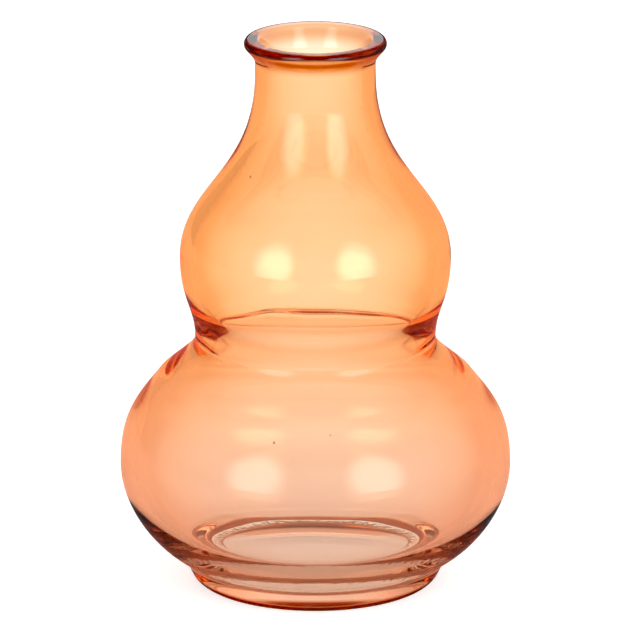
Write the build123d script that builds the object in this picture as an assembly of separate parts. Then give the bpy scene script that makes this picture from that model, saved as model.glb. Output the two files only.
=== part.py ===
from build123d import *
import math
import os

# Gourd vase: a hollow vessel of clear glass with two bulbs, a foot ring and a flared lip, and on its outside
# a thin transparent colour coat. Sizes are in millimetres, angles in degrees. The vase stands on z = 0 and
# Z is its axis. The half profile is drawn flat, x as the radius and y as the height, and turned round the axis.

# Diameters of the bare glass, from the foot up
FOOT_DIAMETER = 67.3  # where the foot's wall would meet the table if its edge were sharp
FOOT_TOP_DIAMETER = 74.5  # where the foot's wall would meet the belly without the blend
BELLY_DIAMETER = 109.7
SHOULDER_DIAMETER = 88.6  # where the belly's round gives way to the crease
WAIST_DIAMETER = 67.3
BULB_DIAMETER = 75.8
NECK_DIAMETER = 33.4
LIP_DIAMETER = 39.6

# Heights, each from the station below it
FOOT_HEIGHT = 7.3
FOOT_TO_BELLY = 26.7
BELLY_TO_SHOULDER = 25.4
SHOULDER_TO_WAIST = 11.3
WAIST_TO_BULB = 23.7
BULB_TO_NECK = 52.9
NECK_LENGTH = 3.0  # the straight stretch under the lip
LIP_HEIGHT = 7.0  # from the straight neck to the crown of the lip
RIDGE_DROP = 0.7  # how far the ridge inside the cavity lies under the waist

# Slopes
FOOT_TOP_SLOPE = 29.0  # of the belly as it leaves the foot, from level
SHOULDER_SLOPE = 52.0  # of the shoulder as it runs into the crease, from level
LIP_FLARE = 40.0  # lean of the lip's outer wall, from upright
MOUTH_FLARE = 27.0  # lean of its inner wall, from upright

# How far each curve keeps to its end's direction, as a share of its rise
FOOT_REACH = 0.38
BELLY_REACH_DOWN = 0.38
BELLY_REACH_UP = 0.53
SHOULDER_REACH_DOWN = 0.41
SHOULDER_REACH_UP = 0.21
WAIST_REACH_DOWN = 0.32
WAIST_REACH_UP = 0.40
BULB_REACH_DOWN = 0.52
BULB_REACH_UP = 0.36
NECK_REACH = 0.55
LIP_REACH = 0.25
CAVITY_BELLY_REACH = 0.61
RIDGE_REACH_DOWN = 0.17
RIDGE_REACH_UP = 0.49
CAVITY_BULB_REACH = 0.66
HEEL_REACH = 0.6  # of the cavity from the belly towards the heel
FLOOR_REACH = 0.7  # of the level floor, as a share of the cavity's radius
FLAT_REACH = 0.3  # of its flat middle, as a share of the cavity's radius

# Walls
WALL_AT_BELLY = 3.4
WALL_AT_WAIST = 4.65  # at the soft ridge inside the waist
WALL_AT_BULB = 3.5
WALL_AT_NECK = 3.8
FLOOR_HEIGHT = 7.0  # of the cavity's lowest point above the table

# Lip: a flat top between two rounded edges
LIP_OUTER_RADIUS = 1.5
LIP_INNER_RADIUS = 1.2
LIP_TOP_WIDTH = 1.7

# Foot ring and the hollow under it
FOOT_EDGE_RADIUS = 4.4
FOOT_BLEND = 1.5  # length of the hollow blend on each side of the corner over the foot
RING_WIDTH = 0.9  # of the flat that the vase stands on
RECESS_STEP = 0.4  # how far the recess rises at once from the bearing ring
RECESS_STEP_WIDTH = 1.4
RECESS_DOME = 0.1  # how far it rises further towards the axis

# Colour coat
COAT_THICKNESS = 0.15
COAT_START = 0.4  # height of the coat's lower end above the table
COAT_LIP_ANGLE = 62.0  # where the coat ends on the lip's round edge, from level

UP = Vector(0, 1)


def along(length, degrees):
    """A vector of the given length, at an angle from level."""
    return Vector(length * math.cos(math.radians(degrees)), length * math.sin(math.radians(degrees)))


def beside(points, first, last):
    """Control points of a curve to the left of another, at one distance from its start and another from its end."""
    legs = [(b - a).normalized() for a, b in zip(points, points[1:])]
    sides = [Vector(-leg.Y, leg.X) for leg in legs]
    turns = [(a + b) * (1 / (1 + a.dot(b))) for a, b in zip(sides, sides[1:])]
    shifts = [sides[0], *turns, sides[-1]]
    half = len(points) / 2
    return [p + s * (first if i < half else last) for i, (p, s) in enumerate(zip(points, shifts))]


def turned(edges):
    """The solid that a closed half profile gives when it turns once round the axis."""
    return revolve(Plane.XZ * make_face(edges), axis=Axis.Z)


# Stations of the outer profile
foot = Vector(FOOT_DIAMETER / 2, 0)
foot_top = Vector(FOOT_TOP_DIAMETER / 2, FOOT_HEIGHT)
belly = Vector(BELLY_DIAMETER / 2, foot_top.Y + FOOT_TO_BELLY)
shoulder = Vector(SHOULDER_DIAMETER / 2, belly.Y + BELLY_TO_SHOULDER)
waist = Vector(WAIST_DIAMETER / 2, shoulder.Y + SHOULDER_TO_WAIST)
bulb = Vector(BULB_DIAMETER / 2, waist.Y + WAIST_TO_BULB)
neck = Vector(NECK_DIAMETER / 2, bulb.Y + BULB_TO_NECK)
neck_top = neck + UP * NECK_LENGTH

# Foot edge: an arc between the bearing ring and the leaning wall of the foot
foot_wall = (foot_top - foot).normalized()
foot_lean = math.degrees(math.atan2(foot_wall.X, foot_wall.Y))
edge_reach = FOOT_EDGE_RADIUS * math.tan(math.radians((90 - foot_lean) / 2))
edge_start = foot - Vector(edge_reach, 0)
edge_centre = edge_start + UP * FOOT_EDGE_RADIUS
edge_end = foot + foot_wall * edge_reach
edge_turn = 90 - foot_lean

# Blend over the foot
blend_start = foot_top - foot_wall * FOOT_BLEND
belly_start = foot_top + along(FOOT_BLEND, FOOT_TOP_SLOPE)

# Lip: the outer and the inner round, and the flat between them
crown = neck_top.Y + LIP_HEIGHT
lip_centre = Vector(LIP_DIAMETER / 2 - LIP_OUTER_RADIUS, crown - LIP_OUTER_RADIUS)
lip_inner_centre = Vector(lip_centre.X - LIP_TOP_WIDTH, crown - LIP_INNER_RADIUS)
lip_start = lip_centre + along(LIP_OUTER_RADIUS, -LIP_FLARE)
lip_end = lip_inner_centre + along(LIP_INNER_RADIUS, 180 - MOUTH_FLARE)
lip_way = along(1, 90 - LIP_FLARE)
mouth_way = along(1, 90 - MOUTH_FLARE)
shoulder_way = along(1, 180 - SHOULDER_SLOPE)

lower_curves = [
    [edge_end, blend_start],
    [blend_start, foot_top, belly_start],
    [
        belly_start,
        belly_start + along(FOOT_REACH * FOOT_TO_BELLY, FOOT_TOP_SLOPE),
        belly - UP * (BELLY_REACH_DOWN * FOOT_TO_BELLY),
        belly,
    ],
]
upper_curves = [
    [
        belly,
        belly + UP * (BELLY_REACH_UP * BELLY_TO_SHOULDER),
        shoulder - shoulder_way * (SHOULDER_REACH_DOWN * BELLY_TO_SHOULDER),
        shoulder,
    ],
    [
        shoulder,
        shoulder + shoulder_way * (SHOULDER_REACH_UP * SHOULDER_TO_WAIST),
        waist - UP * (WAIST_REACH_DOWN * SHOULDER_TO_WAIST),
        waist,
    ],
    [
        waist,
        waist + UP * (WAIST_REACH_UP * WAIST_TO_BULB),
        bulb - UP * (BULB_REACH_DOWN * WAIST_TO_BULB),
        bulb,
    ],
    [
        bulb,
        bulb + UP * (BULB_REACH_UP * BULB_TO_NECK),
        neck - UP * (NECK_REACH * BULB_TO_NECK),
        neck,
    ],
    [neck, neck_top],
    [
        neck_top,
        neck_top + UP * (LIP_REACH * LIP_HEIGHT),
        lip_start - lip_way * (LIP_REACH * LIP_HEIGHT),
        lip_start,
    ],
]
outer_curves = lower_curves + upper_curves

# Cavity: it follows the outside from the lip to the upper bulb, narrows to a soft ridge inside the waist, swells
# to the belly and ends in a bowl with a level floor
bulb_to_neck = beside(upper_curves[3], WALL_AT_BULB, WALL_AT_NECK)
straight_neck = beside(upper_curves[4], WALL_AT_NECK, WALL_AT_NECK)
cavity_belly = belly - Vector(WALL_AT_BELLY, 0)
cavity_bulb = bulb_to_neck[0]
cavity_neck = straight_neck[-1]
ridge = waist - Vector(WALL_AT_WAIST, RIDGE_DROP)
belly_rise = ridge.Y - cavity_belly.Y
bulb_rise = cavity_bulb.Y - ridge.Y
floor_centre = Vector(0, FLOOR_HEIGHT)
inner_curves = [
    [
        floor_centre,
        floor_centre + Vector(FLAT_REACH * cavity_belly.X, 0),
        floor_centre + Vector(FLOOR_REACH * cavity_belly.X, 0),
        cavity_belly - UP * (HEEL_REACH * (cavity_belly.Y - FLOOR_HEIGHT)),
        cavity_belly,
    ],
    [
        cavity_belly,
        cavity_belly + UP * (CAVITY_BELLY_REACH * belly_rise),
        ridge - UP * (RIDGE_REACH_DOWN * belly_rise),
        ridge,
    ],
    [
        ridge,
        ridge + UP * (RIDGE_REACH_UP * bulb_rise),
        cavity_bulb - UP * (CAVITY_BULB_REACH * bulb_rise),
        cavity_bulb,
    ],
    bulb_to_neck,
    straight_neck,
    [
        cavity_neck,
        cavity_neck + UP * (LIP_REACH * LIP_HEIGHT),
        lip_end - mouth_way * (LIP_REACH * LIP_HEIGHT),
        lip_end,
    ],
]

# Underside: the bearing ring, a soft step into the recess and its nearly flat dome
ring_inner = edge_start - Vector(RING_WIDTH, 0)
recess_edge = ring_inner + Vector(-RECESS_STEP_WIDTH, RECESS_STEP)
recess_centre = Vector(0, recess_edge.Y + RECESS_DOME)
step_middle = (ring_inner + recess_edge) * 0.5

glass_edges = [
    Line(edge_start, ring_inner),
    Bezier(ring_inner, Vector(step_middle.X, ring_inner.Y), Vector(step_middle.X, recess_edge.Y), recess_edge),
    Bezier(recess_edge, Vector(recess_edge.X / 2, recess_centre.Y), recess_centre),
    Line(recess_centre, floor_centre),
    *[Bezier(*c) for c in inner_curves],
    CenterArc(lip_inner_centre, LIP_INNER_RADIUS, 90, 90 - MOUTH_FLARE),
    Line(lip_centre + UP * LIP_OUTER_RADIUS, lip_inner_centre + UP * LIP_INNER_RADIUS),
    CenterArc(lip_centre, LIP_OUTER_RADIUS, -LIP_FLARE, 90 + LIP_FLARE),
    *[Bezier(*c) for c in outer_curves],
    CenterArc(edge_centre, FOOT_EDGE_RADIUS, -90, edge_turn),
]
glass_body = turned(glass_edges)

# Coat: a film of even thickness on the outside, from just above the table to the crown of the lip
coat_curves = [beside(c, -COAT_THICKNESS, -COAT_THICKNESS) for c in outer_curves]
coat_low = -math.degrees(math.asin(1 - COAT_START / FOOT_EDGE_RADIUS))
coat_foot_turn = -foot_lean - coat_low
coat_lip_turn = COAT_LIP_ANGLE + LIP_FLARE
coat_edges = [
    CenterArc(edge_centre, FOOT_EDGE_RADIUS, coat_low, coat_foot_turn),
    *[Bezier(*c) for c in outer_curves],
    CenterArc(lip_centre, LIP_OUTER_RADIUS, -LIP_FLARE, coat_lip_turn),
    Line(
        lip_centre + along(LIP_OUTER_RADIUS, COAT_LIP_ANGLE),
        lip_centre + along(LIP_OUTER_RADIUS + COAT_THICKNESS, COAT_LIP_ANGLE),
    ),
    CenterArc(lip_centre, LIP_OUTER_RADIUS + COAT_THICKNESS, -LIP_FLARE, coat_lip_turn),
    *[Bezier(*c) for c in coat_curves],
    CenterArc(edge_centre, FOOT_EDGE_RADIUS + COAT_THICKNESS, coat_low, coat_foot_turn),
    Line(
        edge_centre + along(FOOT_EDGE_RADIUS, coat_low),
        edge_centre + along(FOOT_EDGE_RADIUS + COAT_THICKNESS, coat_low),
    ),
]
tint_coat = turned(coat_edges)

os.makedirs("parts", exist_ok=True)
export_step(glass_body, "parts/glass_body.step")
export_step(tint_coat, "parts/tint_coat.step")
print("glass", glass_body.bounding_box(), "coat", tint_coat.bounding_box())
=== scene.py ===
import math

import bpy
import numpy as np
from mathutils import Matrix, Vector


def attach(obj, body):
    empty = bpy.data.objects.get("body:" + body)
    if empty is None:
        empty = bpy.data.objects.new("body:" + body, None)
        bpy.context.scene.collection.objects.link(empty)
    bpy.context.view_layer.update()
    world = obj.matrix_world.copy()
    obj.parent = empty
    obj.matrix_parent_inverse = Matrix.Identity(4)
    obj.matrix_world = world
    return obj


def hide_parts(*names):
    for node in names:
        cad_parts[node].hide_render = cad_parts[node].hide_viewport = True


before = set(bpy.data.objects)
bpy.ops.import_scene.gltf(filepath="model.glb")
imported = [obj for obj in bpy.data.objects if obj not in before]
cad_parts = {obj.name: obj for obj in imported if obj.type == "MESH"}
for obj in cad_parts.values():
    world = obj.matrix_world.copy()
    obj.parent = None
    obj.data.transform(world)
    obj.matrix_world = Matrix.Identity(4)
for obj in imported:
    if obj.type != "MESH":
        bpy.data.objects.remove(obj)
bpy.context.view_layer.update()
scene = bpy.context.scene

MM = 0.001
UP = np.array([0.0, 1.0])

# Gourd vase of clear glass with a sprayed apricot lacquer outside. Sizes are in millimetres, the same as the
# solids have: first the diameters and the heights between them, from the foot to the lip.
FOOT_D = 67.3
FOOT_TOP_D = 74.5
BELLY_D = 109.7
SHOULDER_D = 88.6
WAIST_D = 67.3
BULB_D = 75.8
NECK_D = 33.4
LIP_D = 39.6
FOOT_H = 7.3
FOOT_TO_BELLY = 26.7
BELLY_TO_SHOULDER = 25.4
SHOULDER_TO_WAIST = 11.3
WAIST_TO_BULB = 23.7
BULB_TO_NECK = 52.9
NECK_H = 3.0
LIP_H = 7.0
FOOT_TOP_SLOPE = 29.0  # degrees from level
SHOULDER_SLOPE = 52.0  # degrees from level
LIP_FLARE = 40.0  # degrees from upright
MOUTH_FLARE = 27.0  # lean of the lip's inner wall, from upright

# How far each curve's handles reach, as shares of the height that it climbs
BELLY_REACH = (0.38, 0.38)
OVER_BELLY_REACH = (0.53, 0.41)
CREASE_REACH = (0.21, 0.32)
WAIST_REACH = (0.40, 0.52)
BULB_REACH = (0.36, 0.55)
LIP_REACH = 0.25
MOUTH_REACH = 0.25
BELLY_INSIDE_REACH = (0.61, 0.17)
WAIST_INSIDE_REACH = (0.49, 0.66)
HEEL_REACH = 0.6
FLOOR_REACH = 0.7  # share of the inside radius at the belly
FLAT_REACH = 0.3  # share of the same radius

# Walls, lip, foot and coat
WALL_BELLY = 3.4
WALL_WAIST = 4.65
WALL_BULB = 3.5
WALL_NECK = 3.8
RIDGE_DROP = 0.7  # the narrowest place inside, under the narrowest place outside
FLOOR_H = 7.0
LIP_OUTER_R = 1.5
LIP_INNER_R = 1.2
LIP_TOP_W = 1.7
FOOT_EDGE_R = 4.4
FOOT_BLEND = 1.5
RING_W = 0.9
RECESS_STEP = 0.4
RECESS_STEP_W = 1.4
RECESS_DOME = 0.1
COAT_T = 0.15
COAT_START = 0.4  # height of its lower edge on the foot
COAT_END = 62.0  # degrees round the lip's outer edge
COAT_GAP = 0.02  # between its inside and the glass, so that the two faces stay apart

# A mould makes the outside true, and the inside, which only air pressed, is left wavy. The walls have
# waves, each (waves round, height, phase, climb per radian), that grow over the floor and shrink under
# the crown.
WALL_WAVES = ((2, 0.08, 1.3, 20.0), (3, 0.06, 0.4, -15.0), (7, 0.03, 2.0, 9.0))
WAVES_START = 5.0  # over the floor
WAVES_GROW = 10.0
WAVES_END = 7.0  # under the crown
WAVES_SHRINK = 15.0

# The waist has a thin bead, highest at the back. It wanders up and down by waves, each (waves round,
# height, phase).
BEAD_WAVES = ((2, 0.45, 0.6), (5, 0.35, 2.1), (9, 0.2, 0.4))
BEAD_H = 0.5
BEAD_W = 0.9  # half its width
BEAD_AT_SIDES = 0.35  # share of its height that is left at the left and the right
POINTS_TO_RIDGE = 1.5  # over 1, the points of the inside draw together near it

# Bubbles left in the glass: (distance to the right of the axis, height, radius), all in the front wall
SEEDS = ((-17.5, 121.0, 0.3), (-11.3, 53.5, 0.28), (4.1, 55.5, 0.2))
SEED_STRETCH = 1.4  # upright, because the glass was drawn out that way
SEED_TURNS = 12
SEED_RINGS = 7

TURNS = 240  # steps round the axis
FOOT_EDGE_POINTS = 8
LIP_EDGE_POINTS = 12


def along(length, degrees):
    """A vector of a length, at an angle from level."""
    return length * np.array([math.cos(math.radians(degrees)), math.sin(math.radians(degrees))])


def line(start, end, count):
    """Points evenly spaced from one point to another."""
    return np.linspace(start, end, count)


def bezier(points, count, crowd=1.0):
    """Points on the curve of any number of control points, by mixing neighbours again and again until one is
    left. A crowd over 1 draws the points together near the start."""
    t = np.linspace(0, 1, count)[:, None] ** crowd
    rows = [np.repeat(np.asarray(p, float)[None], count, 0) for p in points]
    while len(rows) > 1:
        rows = [(1 - t) * a + t * b for a, b in zip(rows, rows[1:])]
    return rows[0]


def arc(centre, radius, start, end, count):
    """Points on a circle, between two angles in degrees."""
    a = np.radians(np.linspace(start, end, count))
    return np.asarray(centre) + radius * np.stack([np.cos(a), np.sin(a)], 1)


def handles(start, start_way, end, end_way, reach):
    """The four control points of a curve that leaves a point one way and comes to another point another way.
    The handles reach shares of the height between them."""
    height = abs(end[1] - start[1])
    return [start, start + start_way * reach[0] * height, end - end_way * reach[1] * height, end]


def beside(points, first, last):
    """Control points of the curve to the left: each leg of the polygon is moved sideways, and its corners
    with it. The first half is moved by one distance and the last half by another."""
    p = [np.asarray(q, float) for q in points]
    legs = [(b - a) / np.linalg.norm(b - a) for a, b in zip(p, p[1:])]
    sides = [np.array([-v[1], v[0]]) for v in legs]
    corners = [(a + b) / (1 + a @ b) for a, b in zip(sides, sides[1:])]
    shifts = [sides[0], *corners, sides[-1]]
    return [q + s * (first if i < len(p) / 2 else last) for i, (q, s) in enumerate(zip(p, shifts))]


# Stations of the outside, each as (radius, height)
FOOT = np.array([FOOT_D / 2, 0.0])
FOOT_TOP = np.array([FOOT_TOP_D / 2, FOOT_H])
BELLY = np.array([BELLY_D / 2, FOOT_H + FOOT_TO_BELLY])
SHOULDER = np.array([SHOULDER_D / 2, BELLY[1] + BELLY_TO_SHOULDER])
WAIST = np.array([WAIST_D / 2, SHOULDER[1] + SHOULDER_TO_WAIST])
BULB = np.array([BULB_D / 2, WAIST[1] + WAIST_TO_BULB])
NECK = np.array([NECK_D / 2, BULB[1] + BULB_TO_NECK])
NECK_TOP = NECK + UP * NECK_H
CROWN = NECK_TOP[1] + LIP_H
FOOT_WAY = (FOOT_TOP - FOOT) / np.linalg.norm(FOOT_TOP - FOOT)
FOOT_LEAN = math.degrees(math.atan2(FOOT_WAY[0], FOOT_WAY[1]))
SHOULDER_WAY = along(1, 180 - SHOULDER_SLOPE)
LIP_WAY = along(1, 90 - LIP_FLARE)

# The foot's rounded edge and the lip's two, as arcs
FOOT_EDGE_REACH = FOOT_EDGE_R * math.tan(math.radians((90 - FOOT_LEAN) / 2))
FOOT_EDGE = FOOT + np.array([-FOOT_EDGE_REACH, FOOT_EDGE_R])
COAT_FOOT_ANGLE = -math.degrees(math.asin(1 - COAT_START / FOOT_EDGE_R))
LIP_OUTER = np.array([LIP_D / 2 - LIP_OUTER_R, CROWN - LIP_OUTER_R])
LIP_INNER = np.array([LIP_OUTER[0] - LIP_TOP_W, CROWN - LIP_INNER_R])


def outer_curves():
    """Control points and point counts of the outside, from the foot's edge up to the lip's."""
    start = FOOT_TOP + along(FOOT_BLEND, FOOT_TOP_SLOPE)
    lip = LIP_OUTER + along(LIP_OUTER_R, -LIP_FLARE)
    return [
        ([FOOT + FOOT_WAY * FOOT_EDGE_REACH, FOOT_TOP - FOOT_WAY * FOOT_BLEND], 5),
        ([FOOT_TOP - FOOT_WAY * FOOT_BLEND, FOOT_TOP, start], 8),
        (
            [
                start,
                start + along(BELLY_REACH[0] * FOOT_TO_BELLY, FOOT_TOP_SLOPE),
                BELLY - UP * BELLY_REACH[1] * FOOT_TO_BELLY,
                BELLY,
            ],
            24,
        ),
        (handles(BELLY, UP, SHOULDER, SHOULDER_WAY, OVER_BELLY_REACH), 24),
        (handles(SHOULDER, SHOULDER_WAY, WAIST, UP, CREASE_REACH), 18),
        (handles(WAIST, UP, BULB, UP, WAIST_REACH), 20),
        (handles(BULB, UP, NECK, UP, BULB_REACH), 34),
        ([NECK, NECK_TOP], 3),
        ([NECK_TOP, NECK_TOP + UP * LIP_REACH * LIP_H, lip - LIP_WAY * LIP_REACH * LIP_H, lip], 12),
    ]


OUTER = outer_curves()
OVER_BULB, UP_NECK = 6, 7  # where these two curves are in the list
RIDGE = WAIST - np.array([WALL_WAIST, RIDGE_DROP])


def inner_curves():
    """The inside as points, from the lip's inner edge down to the middle of the floor. The points crowd
    together at the waist, where a thin bead runs round."""
    belly = BELLY - np.array([WALL_BELLY, 0])
    bulb = BULB - np.array([WALL_BULB, 0])
    top = beside(OUTER[OVER_BULB][0], WALL_BULB, WALL_NECK)
    neck = beside(OUTER[UP_NECK][0], WALL_NECK, WALL_NECK)
    lip = LIP_INNER + along(LIP_INNER_R, 180 - MOUTH_FLARE)
    reach = MOUTH_REACH * LIP_H
    mouth = [neck[-1], neck[-1] + UP * reach, lip - along(reach, 90 - MOUTH_FLARE), lip]
    heel = [
        belly,
        belly - UP * HEEL_REACH * (belly[1] - FLOOR_H),
        np.array([FLOOR_REACH * belly[0], FLOOR_H]),
        np.array([FLAT_REACH * belly[0], FLOOR_H]),
        np.array([0, FLOOR_H]),
    ]
    return [
        bezier(mouth[::-1], 12),
        bezier(neck[::-1], 3),
        bezier(top[::-1], 34),
        bezier(handles(RIDGE, UP, bulb, UP, WAIST_INSIDE_REACH), 34, POINTS_TO_RIDGE)[::-1],
        bezier(handles(belly, UP, RIDGE, UP, BELLY_INSIDE_REACH)[::-1], 40, POINTS_TO_RIDGE),
        bezier(heel, 60),
    ]


def chain(pieces):
    """The pieces of a profile end to end, with each shared end once, and the number of the piece that
    each step is in."""
    points = np.concatenate([p[:-1] for p in pieces] + [pieces[-1][-1:]])
    owner = np.concatenate([np.full(len(p) - 1, i) for i, p in enumerate(pieces)])
    return points, owner


def turned(profile, lift, closed):
    """A profile turned round Z: x = r cos a, y = r sin a, in metres. Each point is first moved along the
    profile's left normal by its lift, one for each row and angle. A closed profile gives a ring. An open
    one starts and ends on the axis, where a fan of triangles closes it. Returns the points, the faces and
    each face's row."""
    ahead = np.roll(profile, -1, 0) - np.roll(profile, 1, 0) if closed else np.gradient(profile, axis=0)
    ahead = ahead / np.linalg.norm(ahead, axis=1)[:, None]
    a = np.linspace(0, 2 * math.pi, TURNS, endpoint=False)
    r = profile[:, :1] - ahead[:, 1:] * lift
    z = profile[:, 1:] + ahead[:, :1] * lift
    grid = np.stack([r * np.cos(a), r * np.sin(a), z], -1) * MM
    rings = grid if closed else grid[1:-1]
    count = len(rings)
    i = np.arange(count if closed else count - 1)[:, None]
    j = np.arange(TURNS)[None]
    above, beyond = (i + 1) % count, (j + 1) % TURNS
    quads = np.stack([i * TURNS + j, i * TURNS + beyond, above * TURNS + beyond, above * TURNS + j], -1)
    points = rings.reshape(-1, 3)
    faces = quads.reshape(-1, 4).tolist()
    rows = np.repeat(np.arange(len(i)) + (0 if closed else 1), TURNS)
    if closed:
        return points, faces, rows
    start, end = len(points), len(points) + 1
    points = np.concatenate([points, grid[:1].mean(1), grid[-1:].mean(1)])
    first, last = np.arange(TURNS), (count - 1) * TURNS + np.arange(TURNS)
    faces += np.stack([np.full(TURNS, start), np.roll(first, -1), first], 1).tolist()
    faces += np.stack([np.full(TURNS, end), last, np.roll(last, -1)], 1).tolist()
    rows = np.concatenate([rows, np.zeros(TURNS, int), np.full(TURNS, len(profile) - 2)])
    return points, faces, rows


def piece(name, points, faces, slots, materials):
    """A smooth mesh object at the origin, with a material slot for each face."""
    mesh = bpy.data.meshes.new(name)
    mesh.from_pydata(points.tolist(), [], faces)
    mesh.polygons.foreach_set("material_index", slots.astype(np.int32))
    mesh.polygons.foreach_set("use_smooth", np.ones(len(mesh.polygons), bool))
    for m in materials:
        mesh.materials.append(m)
    mesh.update()
    obj = bpy.data.objects.new(name, mesh)
    scene.collection.objects.link(obj)
    return obj


def seed(right, height, radius):
    """A bubble in the middle of the front wall: a ball whose faces look into it, out of the glass. It is
    a grid of two angles, x = r sin u cos v, y = r sin u sin v, z = r cos u times the stretch, with a fan
    of triangles at each pole."""
    profile, _ = chain([bezier(c, n) for c, n in OUTER])
    out = np.interp(height, profile[:, 1], profile[:, 0]) - WALL_BULB / 2
    centre = np.array([right, -math.sqrt(out**2 - right**2), height])
    u = np.linspace(0, math.pi, SEED_RINGS + 2)[1:-1, None]
    v = np.linspace(0, 2 * math.pi, SEED_TURNS, endpoint=False)[None]
    ball = np.stack([np.sin(u) * np.cos(v), np.sin(u) * np.sin(v), np.cos(u) + 0 * v], -1).reshape(-1, 3)
    ball = np.concatenate([ball, [[0, 0, 1], [0, 0, -1]]]) * [1, 1, SEED_STRETCH]
    i, j = np.arange(SEED_RINGS - 1)[:, None] * SEED_TURNS, np.arange(SEED_TURNS)[None]
    k = (j + 1) % SEED_TURNS
    quads = np.stack([i + j, i + k, i + SEED_TURNS + k, i + SEED_TURNS + j], -1).reshape(-1, 4)
    ring, after = np.arange(SEED_TURNS), np.roll(np.arange(SEED_TURNS), -1)
    pole, last = SEED_RINGS * SEED_TURNS, (SEED_RINGS - 1) * SEED_TURNS
    top = np.stack([np.full(SEED_TURNS, pole), after, ring], 1)
    low = np.stack([np.full(SEED_TURNS, pole + 1), last + ring, last + after], 1)
    return (ball * radius + centre) * MM, quads.tolist() + top.tolist() + low.tolist()


def glass_body(materials):
    """The vessel: one open profile from the middle of the underside, out over the foot, up the outside,
    over the lip and down the inside to the middle of the floor, turned round. The lift makes the inside
    wavy: the walls by a sum of waves round and up, and the waist by a thin bead, a bell curve across,
    that wanders up and down."""
    ring = np.array([FOOT_EDGE[0] - RING_W, 0])
    edge = ring + np.array([-RECESS_STEP_W, RECESS_STEP])
    centre = np.array([0, edge[1] + RECESS_DOME])
    middle = (ring[0] + edge[0]) / 2
    under = [
        bezier([centre, np.array([edge[0] / 2, centre[1]]), edge], 20),
        bezier([edge, np.array([middle, edge[1]]), np.array([middle, 0]), ring], 8),
        line(ring, np.array([FOOT_EDGE[0], 0]), 5),
        arc(FOOT_EDGE, FOOT_EDGE_R, -90, COAT_FOOT_ANGLE, 5),
    ]
    coated = [
        arc(FOOT_EDGE, FOOT_EDGE_R, COAT_FOOT_ANGLE, -FOOT_LEAN, FOOT_EDGE_POINTS),
        *[bezier(c, n) for c, n in OUTER],
        arc(LIP_OUTER, LIP_OUTER_R, -LIP_FLARE, COAT_END, LIP_EDGE_POINTS),
    ]
    lip = [
        arc(LIP_OUTER, LIP_OUTER_R, COAT_END, 90, 5),
        line(LIP_OUTER + UP * LIP_OUTER_R, LIP_INNER + UP * LIP_INNER_R, 5),
        arc(LIP_INNER, LIP_INNER_R, 90, 180 - MOUTH_FLARE, 10),
    ]
    points, owner = chain(under + coated + lip + inner_curves())
    owner = np.append(owner, owner[-1])[:, None]
    inside = owner >= len(under + coated + lip)
    z = points[:, 1:]
    a = np.linspace(0, 2 * math.pi, TURNS, endpoint=False)[None]
    waves = sum(h * np.cos(k * a + p + z / c) for k, h, p, c in WALL_WAVES)
    waves = waves * np.clip((z - FLOOR_H - WAVES_START) / WAVES_GROW, 0, 1)
    waves = waves * np.clip((CROWN - WAVES_END - z) / WAVES_SHRINK, 0, 1)
    middle_of_bead = RIDGE[1] + sum(h * np.cos(k * a + p) for k, h, p in BEAD_WAVES)
    bead_h = BEAD_H * np.clip(BEAD_AT_SIDES + (1 - BEAD_AT_SIDES) * np.sin(a), 0, 1)
    bead = bead_h * np.exp(-(((z - middle_of_bead) / BEAD_W) ** 2))
    lift = inside * (waves - bead)
    verts, faces, rows = turned(points, lift, False)
    slots = ((owner >= len(under)) & (owner < len(under + coated)))[rows, 0]
    for s in SEEDS:
        more, more_faces = seed(*s)
        faces += [[v + len(verts) for v in f] for f in more_faces]
        verts = np.concatenate([verts, more])
        slots = np.append(slots, np.zeros(len(more_faces), bool))
    return piece("glass_body", verts, faces, slots, materials)


def tint_coat(materials):
    """The film: a closed profile up its outside and down its inside, both beside the glass's own profile,
    turned round."""
    sides = []
    for off in (COAT_T, COAT_GAP):
        points, _ = chain(
            [
                arc(FOOT_EDGE, FOOT_EDGE_R + off, COAT_FOOT_ANGLE, -FOOT_LEAN, FOOT_EDGE_POINTS),
                *[bezier(beside(c, -off, -off), n) for c, n in OUTER],
                arc(LIP_OUTER, LIP_OUTER_R + off, -LIP_FLARE, COAT_END, LIP_EDGE_POINTS),
            ]
        )
        sides.append(points)
    out, back = sides
    verts, faces, rows = turned(np.concatenate([out, back[::-1]]), np.zeros((2 * len(out), TURNS)), True)
    slots = (rows >= len(out)) & (rows < 2 * len(out) - 1)
    return piece("tint_coat", verts, faces, slots, materials)


def linear(colour):
    """An sRGB hex colour as linear red, green and blue, with an alpha of 1."""
    c = np.array([int(colour[i : i + 2], 16) for i in (1, 3, 5)]) / 255
    return (*np.where(c <= 0.04045, c / 12.92, ((c + 0.055) / 1.055) ** 2.4), 1.0)


def node(tree, kind, inputs=None, stops=None, **settings):
    """Add a node, with its settings, a value or a link for each input, and the stops of a ramp as hex
    colours or plain levels. Returns its outputs."""
    n = tree.nodes.new("ShaderNode" + kind)
    for name, value in settings.items():
        setattr(n, name, value)
    for name, value in (inputs or {}).items():
        if isinstance(value, bpy.types.NodeSocket):
            tree.links.new(value, n.inputs[name])
        else:
            n.inputs[name].default_value = value
    for i, (at, colour) in enumerate(stops or []):
        e = n.color_ramp.elements
        stop = e[i] if i < len(e) else e.new(1.0)
        stop.position = at
        stop.color = linear(colour) if isinstance(colour, str) else (colour, colour, colour, 1)
    return n.outputs


def finish(name):
    """An empty node material and its tree."""
    m = bpy.data.materials.new(name)
    m.use_nodes = True
    m.node_tree.nodes.clear()
    return m, m.node_tree


GLASS_IOR = 1.52
STIPPLE = 1.4  # between the dots of the bearing ring
STIPPLE_H = 0.25
STIPPLE_REACH = 1.3  # in and out from the outer edge of the ring
STIPPLE_TOP = 0.5  # over the table, so that the floor inside stays smooth


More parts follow.
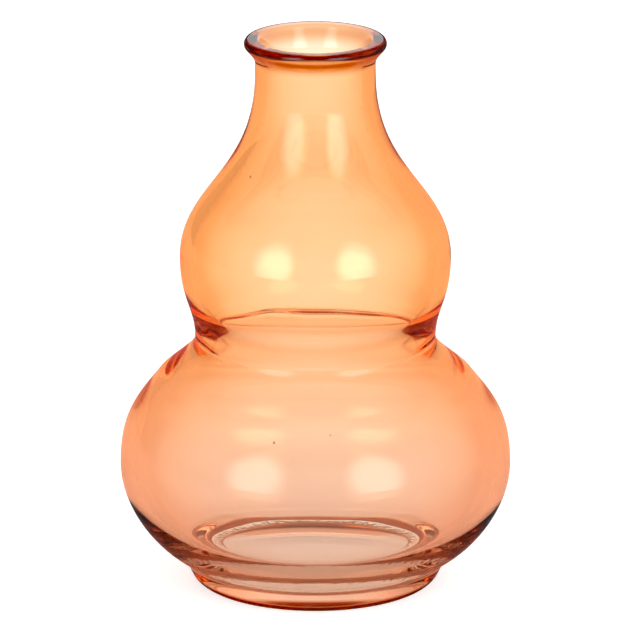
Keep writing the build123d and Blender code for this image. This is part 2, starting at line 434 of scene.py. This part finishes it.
def fire_polished_glass():
    """Soda-lime glass, moulded and fire-polished: colourless, mirror smooth, and it bends what is seen
    through it. The bearing ring is stippled by the mould, which shows through the base as a broken,
    glittering line."""
    m, t = finish("soda_lime_glass_fire_polished")
    at = node(t, "TexCoord")["Object"]
    flat = node(t, "VectorMath", {0: at, 1: (1, 1, 0)}, operation="MULTIPLY")[0]
    out = node(t, "VectorMath", {0: flat}, operation="LENGTH")["Value"]
    height = node(t, "SeparateXYZ", {0: at})["Z"]
    near = node(t, "Math", {0: out, 1: FOOT_EDGE[0] * MM, 2: STIPPLE_REACH * MM}, operation="COMPARE")[0]
    low = node(t, "Math", {0: height, 1: STIPPLE_TOP * MM}, operation="LESS_THAN")[0]
    where = node(t, "Math", {0: near, 1: low}, operation="MULTIPLY")[0]
    dots = node(t, "TexVoronoi", {"Vector": at, "Scale": 1 / (STIPPLE * MM)})["Distance"]
    relief = {"Strength": where, "Distance": STIPPLE_H * MM, "Height": dots}
    bump = node(t, "Bump", relief, invert=True)["Normal"]
    body = node(
        t,
        "BsdfPrincipled",
        {
            "Base Color": linear("#FDFEFD"),
            "Roughness": 0.0,
            "IOR": GLASS_IOR,
            "Transmission Weight": 1.0,
            "Normal": bump,
        },
    )
    node(t, "OutputMaterial", {"Surface": body[0]})
    return m


def bonded_face():
    """Where glass and lacquer touch, both bend light alike, so the face between them can't be seen."""
    m, t = finish("bond_of_glass_and_lacquer")
    node(t, "OutputMaterial", {"Surface": node(t, "BsdfTransparent")[0]})
    return m


# The lacquer's colour, as light has it after one pass, by height as a share of the whole: palest and rosiest
# over the base, more orange from the waist up, and deeper at the lip. The deep band on the foot's lower edge
# is painted shade where the foot meets the board
TINT_AND_PAINTED_FOOT_SHADE = [
    # painted shade: the deep band on the foot's lower edge, fading out by 0.018 of the height
    (0.0, "#C07040"),
    (0.012, "#C07040"),
    (0.018, "#F7DECF"),
    (0.15, "#F7DECF"),
    (0.29, "#F7DBC6"),
    (0.5, "#F8DCBE"),
    (0.955, "#F8DCBE"),
    (0.975, "#E6B288"),
]

# The colour of light that the film turns back into the glass, by the same height
TURNED_BACK = [
    (0.0, "#E0C8BA"),
    (0.03, "#E0C8BA"),
    (0.06, "#EAD6CB"),
    (0.3, "#EAD6CB"),
    (0.38, "#FCD0A8"),
    (0.55, "#FCD0A8"),
    (0.65, "#E7C8AF"),
    (0.9, "#E7C8AF"),
    (0.95, "#B88660"),
]

LEAST_COS2 = 0.3  # past this slant, given as cos squared, the longer path through the film no longer counts
MIRROR_FRONT = 0.03  # share of the light that the outside mirrors where it is seen straight on
MIRROR_EDGE = 0.1  # share that comes to it at a grazing slant
MIRROR_POWER = 8.0  # how close to grazing that share comes in
GLOSS = 0.06  # roughness of the outside
EVEN_BLEND = 0.5  # Facing is then 1 - cos of the slant


def sprayed_lacquer():
    """Transparent lacquer, sprayed: a clear film that dyes what is seen through it, and the more slanted
    the path, the deeper: its colour is raised to the power 1 / cos of the slant outside. Light that leaves
    the glass has the slant inside, and by refraction that outside follows:
    cos2 = 1 + IOR2 (cos2 inside - 1). The outer face has a soft gloss, and light that it turns back inside
    the glass is dyed too."""
    m, t = finish("transparent_lacquer_sprayed")
    height = node(t, "SeparateXYZ", {0: node(t, "TexCoord")["Object"]})["Z"]
    share = node(t, "Math", {0: height, 1: CROWN * MM}, operation="DIVIDE")[0]
    # the dye by height, with painted shade in its deep band on the foot's lower edge
    dye_and_painted_foot_shade = node(t, "ValToRGB", {0: share}, TINT_AND_PAINTED_FOOT_SHADE)[0]
    behind = node(t, "NewGeometry")["Backfacing"]
    slant = node(t, "LayerWeight", {"Blend": EVEN_BLEND})["Facing"]
    cos = node(t, "Math", {0: 1.0, 1: slant}, operation="SUBTRACT")[0]
    less = node(t, "Math", {0: cos, 1: cos, 2: -1.0}, operation="MULTIPLY_ADD")[0]
    bend = node(t, "Math", {0: behind, 1: GLASS_IOR**2 - 1, 2: 1.0}, operation="MULTIPLY_ADD")[0]
    cos2 = node(t, "Math", {0: less, 1: bend, 2: 1.0}, operation="MULTIPLY_ADD")[0]
    kept = node(t, "Math", {0: cos2, 1: LEAST_COS2}, operation="MAXIMUM")[0]
    path = node(t, "Math", {0: kept, 1: -0.5}, operation="POWER")[0]
    dyed = node(t, "Gamma", {"Color": dye_and_painted_foot_shade, "Gamma": path})[0]
    inner = node(t, "ValToRGB", {0: share}, TURNED_BACK)[0]
    mirrored = node(t, "Mix", {"Factor": behind, "A": (1, 1, 1, 1), "B": inner}, data_type="RGBA")["Result"]
    through = node(t, "BsdfRefraction", {"Color": dyed, "Roughness": 0.0, "IOR": GLASS_IOR})[0]
    rough = node(t, "Math", {0: behind, 1: -GLOSS, 2: GLOSS}, operation="MULTIPLY_ADD")[0]
    shine = node(t, "BsdfGlossy", {"Color": mirrored, "Roughness": rough})[0]
    rim = node(t, "Math", {0: slant, 1: MIRROR_POWER}, operation="POWER")[0]
    outside = node(t, "Math", {0: rim, 1: MIRROR_EDGE, 2: MIRROR_FRONT}, operation="MULTIPLY_ADD")[0]
    inside = node(t, "Fresnel", {"IOR": GLASS_IOR})[0]
    mirror = node(t, "Mix", {"Factor": behind, "A": outside, "B": inside}, data_type="FLOAT")["Result"]
    node(t, "OutputMaterial", {"Surface": node(t, "MixShader", {0: mirror, 1: through, 2: shine})[0]})
    return m


glass, bond, lacquer = fire_polished_glass(), bonded_face(), sprayed_lacquer()
body = glass_body([glass, bond])
film = tint_coat([lacquer, bond])
for part, name, slot in ((body, "glass_body", "clear_glass"), (film, "tint_coat", "apricot_lacquer")):
    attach(part, "root")
    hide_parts(name)

# Studio: a white board under the foot, the same all over. Its sizes are in metres.
BOARD_W = 60.0
BOARD_DROP = 0.0002  # under the foot, so that the two don't share a plane
BOARD_COLOUR = "#E8E8E8"
BOARD_GLOW = 0.55  # light that it gives off by itself


def white_board():
    """Matt white card that also glows a little: plain and pale to the eye, with a soft shadow by the foot."""
    m, t = finish("matt_white_card")
    card = node(t, "BsdfDiffuse", {"Color": linear(BOARD_COLOUR)})[0]
    glow = node(t, "Emission", {"Strength": BOARD_GLOW})[0]
    node(t, "OutputMaterial", {"Surface": node(t, "AddShader", {0: card, 1: glow})[0]})
    return m


def board():
    """A square of four corners, a hair under the foot."""
    h = BOARD_W / 2
    corners = np.array([[-h, -h, 0], [h, -h, 0], [h, h, 0], [-h, h, 0]])
    obj = piece("board", corners, [[0, 1, 2, 3]], np.zeros(1, int), [white_board()])
    obj.location.z = -BOARD_DROP


board()

# Soft light all round, by the sine of its height: brighter low down than high up, and a little brighter
# from the right. Two soft lamps stand in front, to the left and the right.
SKY = [(0.0, 1.25), (0.45, 1.15), (0.7, 0.6), (0.92, 0.6), (1.0, 0.2)]
SKY_RIGHT = 0.2  # share that is added at the far right and taken away at the far left
LAMP_AZIMUTH = 38.0  # degrees to either side of straight in front
LAMP_HEIGHT = 18.0  # degrees
LAMP_WIDE = 21.0  # degrees from its middle to where it has faded out
LAMP_FLAT = 8.0  # degrees from its middle to where it starts to fade
LAMP_SQUASH = 0.6  # how far its height is drawn together before it is measured, which leaves the lamp taller
LAMP_BRIGHT = 5.0  # at its middle


def studio_light():
    """A world that is the sum of the soft light and two lamps, each fading smoothly with the angle from its
    middle."""
    world = bpy.data.worlds.new("studio")
    scene.world = world
    world.use_nodes = True
    t = world.node_tree
    t.nodes.clear()
    way = node(t, "TexCoord")["Generated"]
    x, _, z = node(t, "SeparateXYZ", {0: way})
    soft = node(t, "ValToRGB", {0: z}, SKY)[0]
    strength = node(t, "Math", {0: x, 1: SKY_RIGHT, 2: 1.0}, operation="MULTIPLY_ADD")[0]
    light = node(t, "Background", {"Color": soft, "Strength": strength})[0]
    for azimuth in (-LAMP_AZIMUTH, LAMP_AZIMUTH):
        a, h = math.radians(azimuth), math.radians(LAMP_HEIGHT)
        lamp = (math.sin(a) * math.cos(h), -math.cos(a) * math.cos(h), math.sin(h))
        drawn = node(
            t,
            "VectorMath",
            {0: way, 1: (1, 1, LAMP_SQUASH), 2: (0, 0, lamp[2] * (1 - LAMP_SQUASH))},
            operation="MULTIPLY_ADD",
        )[0]
        straight = node(t, "VectorMath", {0: drawn}, operation="NORMALIZE")[0]
        near = node(t, "VectorMath", {0: straight, 1: lamp}, operation="DOT_PRODUCT")["Value"]
        wide, flat = [math.cos(math.radians(v)) for v in (LAMP_WIDE, LAMP_FLAT)]
        glow = node(
            t,
            "MapRange",
            {"Value": near, "From Min": wide, "From Max": flat, "To Max": LAMP_BRIGHT},
            interpolation_type="SMOOTHSTEP",
        )[0]
        light = node(t, "AddShader", {0: light, 1: node(t, "Background", {"Strength": glow})[0]})[0]
    node(t, "OutputWorld", {"Surface": light})


studio_light()

# Camera: from far off and a little above. The point that it aims at falls on a given pixel of the picture.
CAMERA_HEIGHT = 16.61  # degrees
CAMERA_AWAY = 2.4  # metres
CAMERA_SIGHT = 100  # metres, past the far edge of the board
PIXELS_PER_MM = 3.56  # at the point that it aims at
PICTURE = 640  # pixels across
AIM = Vector((0, 0, 0.078))  # metres
AIM_PIXEL = (315.4, 311.39)  # from the left and from the top
SENSOR = 36.0  # mm


def camera():
    """Straight back from the aim along the line of sight, and then moved sideways and up, so that the aim
    falls on its pixel."""
    data = bpy.data.cameras.new("camera")
    obj = bpy.data.objects.new("camera", data)
    scene.collection.objects.link(obj)
    scene.camera = obj
    h = math.radians(CAMERA_HEIGHT)
    back, upward = Vector((0, -math.cos(h), math.sin(h))), Vector((0, math.sin(h), math.cos(h)))
    right_of, above = [(v - PICTURE / 2) / PIXELS_PER_MM * MM for v in AIM_PIXEL]
    obj.location = AIM - Vector((right_of, 0, 0)) + upward * above + back * CAMERA_AWAY
    obj.rotation_mode = "QUATERNION"
    obj.rotation_quaternion = back.to_track_quat("Z", "Y")
    data.sensor_width = SENSOR
    data.lens = PIXELS_PER_MM * CAMERA_AWAY / MM / PICTURE * SENSOR
    data.clip_end = CAMERA_SIGHT


camera()

# Plain colours with deep blacks, and enough bounces for light that runs inside the walls
BLACK = 0.035  # the level of light that is shown as black
BOUNCES = 40
scene.view_settings.view_transform = "Standard"
scene.view_settings.use_curve_mapping = True
scene.view_settings.curve_mapping.black_level = (BLACK, BLACK, BLACK)
scene.view_settings.curve_mapping.update()
scene.cycles.max_bounces = BOUNCES
scene.cycles.transmission_bounces = BOUNCES
scene.cycles.glossy_bounces = BOUNCES
scene.cycles.transparent_max_bounces = 2 * BOUNCES
